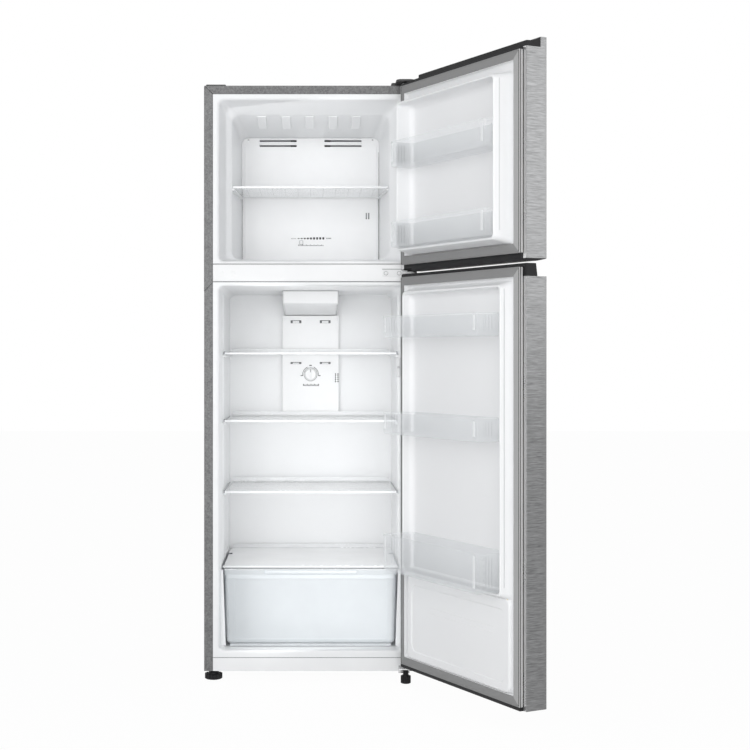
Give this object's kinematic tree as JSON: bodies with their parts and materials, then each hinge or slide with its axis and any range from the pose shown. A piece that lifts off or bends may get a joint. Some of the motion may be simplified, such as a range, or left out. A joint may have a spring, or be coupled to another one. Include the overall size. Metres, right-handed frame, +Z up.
{
  "type": "top freezer refrigerator",
  "caption": "Tall steel refrigerator with a freezer on top, two hinged doors that stand open, glass shelves, door bins and a crisper drawer.",
  "frame": {"origin": "on the floor, under the middle of the outline that the cabinet and the open doors cover", "axes": "+Z up; the doors face -Y; +X towards the hinged side"},
  "size_m": [0.8062, 1.0046, 1.5562],
  "materials": {
    "cabinet_steel": "satin",
    "rear_steel": "satin",
    "base_steel": "satin",
    "foam": "matte",
    "liner_white": "gloss",
    "rail_white": "satin",
    "cover_white": "satin",
    "coil_aluminium": "satin",
    "motor_black": "matte",
    "heater_glass": "gloss",
    "lamp_white": "satin",
    "compressor_black": "satin",
    "copper_pipe": "satin",
    "black_plastic": "satin",
    "hinge_steel": "satin",
    "dark_plastic": "satin",
    "black_rubber": "matte",
    "button_grey": "satin",
    "knob_white": "gloss",
    "clear_plastic": "gloss",
    "shelf_glass": "polished",
    "trim_clear": "gloss",
    "drawer_clear": "gloss",
    "brushed_door_steel": "satin",
    "door_liner_white": "gloss",
    "gasket_grey": "satin",
    "bin_clear": "gloss"
  },
  "bodies": {
    "cabinet": {"cabinet_shell": "cabinet_steel", "back_panel": "rear_steel", "base_pan": "base_steel", "cabinet_foam": "foam", "freezer_liner": "liner_white", "fridge_liner": "liner_white", "centre_rail": "rail_white", "rail_plugs": "rail_white", "plinth_strip": "rail_white", "freezer_back_cover": "cover_white", "evaporator": "coil_aluminium", "fan_motor": "motor_black", "defrost_heater": "heater_glass", "duct_panel": "cover_white", "lamp_housing": "lamp_white", "compressor": "compressor_black", "condenser_pipes": "copper_pipe", "drain_tray": "black_plastic", "machine_cover": "rear_steel", "top_hinge": "hinge_steel", "top_covers": "dark_plastic", "middle_hinge": "hinge_steel", "bottom_hinge": "hinge_steel", "hinge_screws": "hinge_steel", "front_feet": "black_plastic", "power_gland": "black_rubber", "switch_housing": "liner_white"},
    "freezer_door": {"freezer_door_skin": "brushed_door_steel", "freezer_door_liner": "door_liner_white", "freezer_door_foam": "foam", "freezer_door_top_cap": "black_plastic", "freezer_door_bottom_cap": "black_plastic", "freezer_door_gasket": "gasket_grey"},
    "fridge_door": {"fridge_door_skin": "brushed_door_steel", "fridge_door_liner": "door_liner_white", "fridge_door_foam": "foam", "fridge_door_top_cap": "black_plastic", "fridge_door_bottom_cap": "black_plastic", "fridge_door_gasket": "gasket_grey"},
    "freezer_bin_upper": {"freezer_bin_upper": "bin_clear"},
    "freezer_bin_lower": {"freezer_bin_lower": "bin_clear"},
    "fridge_bin_upper": {"fridge_bin_upper": "bin_clear"},
    "fridge_bin_middle": {"fridge_bin_middle": "bin_clear"},
    "fridge_bin_lower": {"fridge_bin_lower": "bin_clear"},
    "crisper_drawer": {"crisper_drawer": "drawer_clear"},
    "crisper_cover": {"crisper_cover_glass": "shelf_glass", "crisper_cover_trim": "trim_clear"},
    "freezer_shelf": {"freezer_shelf": "clear_plastic"},
    "top_shelf": {"shelf_glass_top": "shelf_glass", "shelf_trim_top": "trim_clear"},
    "middle_shelf": {"shelf_glass_middle": "shelf_glass", "shelf_trim_middle": "trim_clear"},
    "lower_shelf": {"shelf_glass_lower": "shelf_glass", "shelf_trim_lower": "trim_clear"},
    "thermostat_dial": {"dial_knob": "knob_white"},
    "freezer_slider": {"freezer_slider": "knob_white"},
    "door_switch": {"switch_button": "button_grey"},
    "fan": {"fan_blade": "cover_white"},
    "roller_left": {"roller_left": "black_plastic"},
    "roller_right": {"roller_right": "black_plastic"}
  },
  "joints": [
    {"name": "freezer_door_hinge", "type": "hinge", "parent": "cabinet", "child": "freezer_door", "pos_m": [0.12835, -0.02019, 1.2924], "axis": [0, 0, 1], "range_deg": [-117, 2]},
    {"name": "fridge_door_hinge", "type": "hinge", "parent": "cabinet", "child": "fridge_door", "pos_m": [0.12835, -0.02019, 0.54885], "axis": [0, 0, 1], "range_deg": [-117, 2]},
    {"name": "freezer_bin_upper_lift", "type": "slide", "parent": "freezer_door", "child": "freezer_bin_upper", "axis": [0, 0, 1], "range_m": [0, 0.03]},
    {"name": "freezer_bin_lower_lift", "type": "slide", "parent": "freezer_door", "child": "freezer_bin_lower", "axis": [0, 0, 1], "range_m": [0, 0.03]},
    {"name": "fridge_bin_upper_lift", "type": "slide", "parent": "fridge_door", "child": "fridge_bin_upper", "axis": [0, 0, 1], "range_m": [0, 0.03]},
    {"name": "fridge_bin_middle_lift", "type": "slide", "parent": "fridge_door", "child": "fridge_bin_middle", "axis": [0, 0, 1], "range_m": [0, 0.03]},
    {"name": "fridge_bin_lower_lift", "type": "slide", "parent": "fridge_door", "child": "fridge_bin_lower", "axis": [0, 0, 1], "range_m": [0, 0.03]},
    {"name": "crisper_drawer_slide", "type": "slide", "parent": "cabinet", "child": "crisper_drawer", "axis": [0, -1, 0], "range_m": [0, 0.23]},
    {"name": "crisper_cover_slide", "type": "slide", "parent": "cabinet", "child": "crisper_cover", "axis": [0, -1, 0], "range_m": [0, 0.09]},
    {"name": "freezer_shelf_slide", "type": "slide", "parent": "cabinet", "child": "freezer_shelf", "axis": [0, -1, 0], "range_m": [0, 0.12]},
    {"name": "top_shelf_slide", "type": "slide", "parent": "cabinet", "child": "top_shelf", "axis": [0, -1, 0], "range_m": [0, 0.12]},
    {"name": "middle_shelf_slide", "type": "slide", "parent": "cabinet", "child": "middle_shelf", "axis": [0, -1, 0], "range_m": [0, 0.12]},
    {"name": "lower_shelf_slide", "type": "slide", "parent": "cabinet", "child": "lower_shelf", "axis": [0, -1, 0], "range_m": [0, 0.12]},
    {"name": "thermostat_turn", "type": "hinge", "parent": "cabinet", "child": "thermostat_dial", "pos_m": [-0.12815, 0.41881, 0.785], "axis": [0, -1, 0], "range_deg": [-110, 110]},
    {"name": "freezer_control_slide", "type": "slide", "parent": "cabinet", "child": "freezer_slider", "axis": [1, 0, 0], "range_m": [0, 0.052]},
    {"name": "door_switch_press", "type": "slide", "parent": "cabinet", "child": "door_switch", "axis": [0, 1, 0], "range_m": [0, 0.005], "stiffness_N_per_m": 200},
    {"name": "fan_spin", "type": "hinge", "parent": "cabinet", "child": "fan", "pos_m": [-0.12815, 0.36081, 1.388], "axis": [0, 1, 0], "continuous": true},
    {"name": "roller_left_spin", "type": "hinge", "parent": "cabinet", "child": "roller_left", "pos_m": [-0.35314, 0.46081, 0.012], "axis": [1, 0, 0], "continuous": true},
    {"name": "roller_right_spin", "type": "hinge", "parent": "cabinet", "child": "roller_right", "pos_m": [0.09685, 0.46081, 0.012], "axis": [1, 0, 0], "continuous": true}
  ]
}
